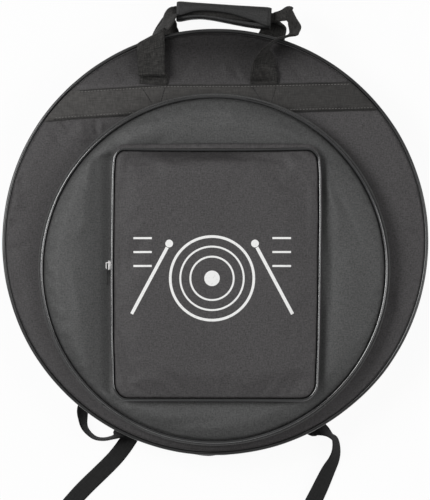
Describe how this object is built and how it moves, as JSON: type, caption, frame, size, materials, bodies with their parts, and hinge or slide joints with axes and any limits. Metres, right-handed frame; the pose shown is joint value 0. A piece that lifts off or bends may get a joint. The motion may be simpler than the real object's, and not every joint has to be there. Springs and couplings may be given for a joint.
{
  "type": "cymbal bag",
  "caption": "Round padded cymbal bag with a zipped lid, a round outer pocket, a small front pocket, folded carry handles in a grip wrap and backpack straps underneath.",
  "frame": {"origin": "middle of the back panel's outer face", "axes": "+Z out of the bag's front, +Y towards the carry handles, +X to the right as seen from the front"},
  "size_m": [0.5586, 0.7043, 0.1078],
  "materials": {
    "shell_cloth": "matte",
    "pocket_cloth": "matte",
    "divider_cloth": "matte",
    "webbing": "matte",
    "zip_tape": "matte",
    "padding": "matte",
    "piping_vinyl": "gloss",
    "coil_plastic": "satin",
    "buckle_plastic": "satin",
    "zip_steel": "gloss"
  },
  "bodies": {
    "base": {"back_panel": "shell_cloth", "back_gusset": "shell_cloth", "back_piping": "piping_vinyl", "divider_low": "divider_cloth", "divider_high": "divider_cloth", "main_tape_back": "zip_tape", "main_coil_back": "coil_plastic", "hinge_gusset_lower": "shell_cloth", "rear_band": "webbing", "strap_yoke": "padding", "anchor_left": "webbing", "anchor_right": "webbing", "lower_webbing_left": "webbing", "lower_webbing_right": "webbing"},
    "lid": {"front_panel": "shell_cloth", "front_gusset": "shell_cloth", "front_piping": "piping_vinyl", "main_tape_front": "zip_tape", "main_coil_front": "coil_plastic", "hinge_gusset_upper": "shell_cloth", "front_band": "webbing", "round_gusset": "pocket_cloth", "round_zip_lower": "zip_tape", "round_lower_gusset": "pocket_cloth", "round_lower_panel": "pocket_cloth", "round_lower_piping": "piping_vinyl"},
    "round_flap": {"round_zip_upper": "zip_tape", "round_flap_gusset": "pocket_cloth", "round_flap_panel": "pocket_cloth", "round_flap_piping": "piping_vinyl", "small_gusset": "pocket_cloth", "small_zip_lower": "zip_tape", "small_lower_gusset": "pocket_cloth", "small_lower_panel": "pocket_cloth", "small_lower_piping": "piping_vinyl"},
    "small_flap": {"small_zip_upper": "zip_tape", "small_flap_gusset": "pocket_cloth", "small_flap_panel": "pocket_cloth", "small_flap_piping": "piping_vinyl"},
    "main_slider_a": {"main_slider_a": "zip_steel"},
    "main_puller_a": {"main_puller_a": "zip_steel"},
    "main_slider_b": {"main_slider_b": "zip_steel"},
    "main_puller_b": {"main_puller_b": "zip_steel"},
    "round_slider": {"round_slider": "zip_steel"},
    "round_puller": {"round_puller": "zip_steel"},
    "small_slider": {"small_slider": "zip_steel"},
    "small_puller": {"small_puller": "zip_steel"},
    "front_handle": {"front_handle": "webbing"},
    "rear_handle": {"rear_handle": "webbing", "grip_wrap": "padding"},
    "grip_flap": {"grip_flap": "padding"},
    "strap_left": {"strap_left": "padding", "buckle_left": "buckle_plastic", "strap_tail_left": "webbing"},
    "strap_right": {"strap_right": "padding", "buckle_right": "buckle_plastic", "strap_tail_right": "webbing"}
  },
  "joints": [
    {"name": "lid_hinge", "type": "hinge", "parent": "base", "child": "lid", "pos_m": [0, -0.27555, 0.025], "axis": [1, 0, 0], "range_deg": [0, 145]},
    {"name": "main_slider_a_travel", "type": "hinge", "parent": "base", "child": "main_slider_a", "pos_m": [0, 0, 0.025], "axis": [0, 0, 1], "range_deg": [0, 128]},
    {"name": "main_slider_b_travel", "type": "hinge", "parent": "base", "child": "main_slider_b", "pos_m": [0, 0, 0.025], "axis": [0, 0, -1], "range_deg": [0, 192]},
    {"name": "main_puller_a_swing", "type": "hinge", "parent": "main_slider_a", "child": "main_puller_a", "pos_m": [-0.15191, 0.23103, 0.025], "axis": [0, 0, -1], "range_deg": [0, 150]},
    {"name": "main_puller_b_swing", "type": "hinge", "parent": "main_slider_b", "child": "main_puller_b", "pos_m": [-0.14106, 0.23781, 0.025], "axis": [0, 0, 1], "range_deg": [0, 150]},
    {"name": "round_flap_fold", "type": "hinge", "parent": "lid", "child": "round_flap", "pos_m": [0, -0.213, 0.0751], "axis": [1, 0, 0], "range_deg": [0, 90]},
    {"name": "round_slider_travel", "type": "hinge", "parent": "lid", "child": "round_slider", "pos_m": [0, -0.0366, 0.0597], "axis": [0, 0, 1], "range_deg": [0, 280]},
    {"name": "round_puller_swing", "type": "hinge", "parent": "round_slider", "child": "round_puller", "pos_m": [0.14338, -0.21194, 0.0597], "axis": [0, 0, -1], "range_deg": [0, 150]},
    {"name": "small_flap_fold", "type": "hinge", "parent": "round_flap", "child": "small_flap", "pos_m": [0.0023, -0.04, 0.0968], "axis": [1, 0, 0], "range_deg": [0, 150]},
    {"name": "small_slider_travel", "type": "slide", "parent": "round_flap", "child": "small_slider", "axis": [0, 1, 0], "range_m": [0, 0.126]},
    {"name": "small_puller_swing", "type": "hinge", "parent": "small_slider", "child": "small_puller", "pos_m": [-0.1375, -0.032, 0.0832], "axis": [0, 0, -1], "range_deg": [0, 150]},
    {"name": "front_handle_fold", "type": "hinge", "parent": "lid", "child": "front_handle", "pos_m": [0, 0.206, 0.0526], "axis": [1, 0, 0], "range_deg": [0, 85]},
    {"name": "rear_handle_fold", "type": "hinge", "parent": "base", "child": "rear_handle", "pos_m": [0, 0.206, -0.0026], "axis": [-1, 0, 0], "range_deg": [0, 120]},
    {"name": "grip_flap_fold", "type": "hinge", "parent": "rear_handle", "child": "grip_flap", "pos_m": [0.01288, 0.31227, 0.035], "axis": [-0.9974, 0.0715, 0], "range_deg": [0, 170]},
    {"name": "strap_left_swing", "type": "hinge", "parent": "base", "child": "strap_left", "pos_m": [-0.062, 0.15155, -0.00459], "axis": [1, 0, 0], "range_deg": [0, 60]},
    {"name": "strap_right_swing", "type": "hinge", "parent": "base", "child": "strap_right", "pos_m": [0.062, 0.15155, -0.00459], "axis": [1, 0, 0], "range_deg": [0, 60]}
  ]
}
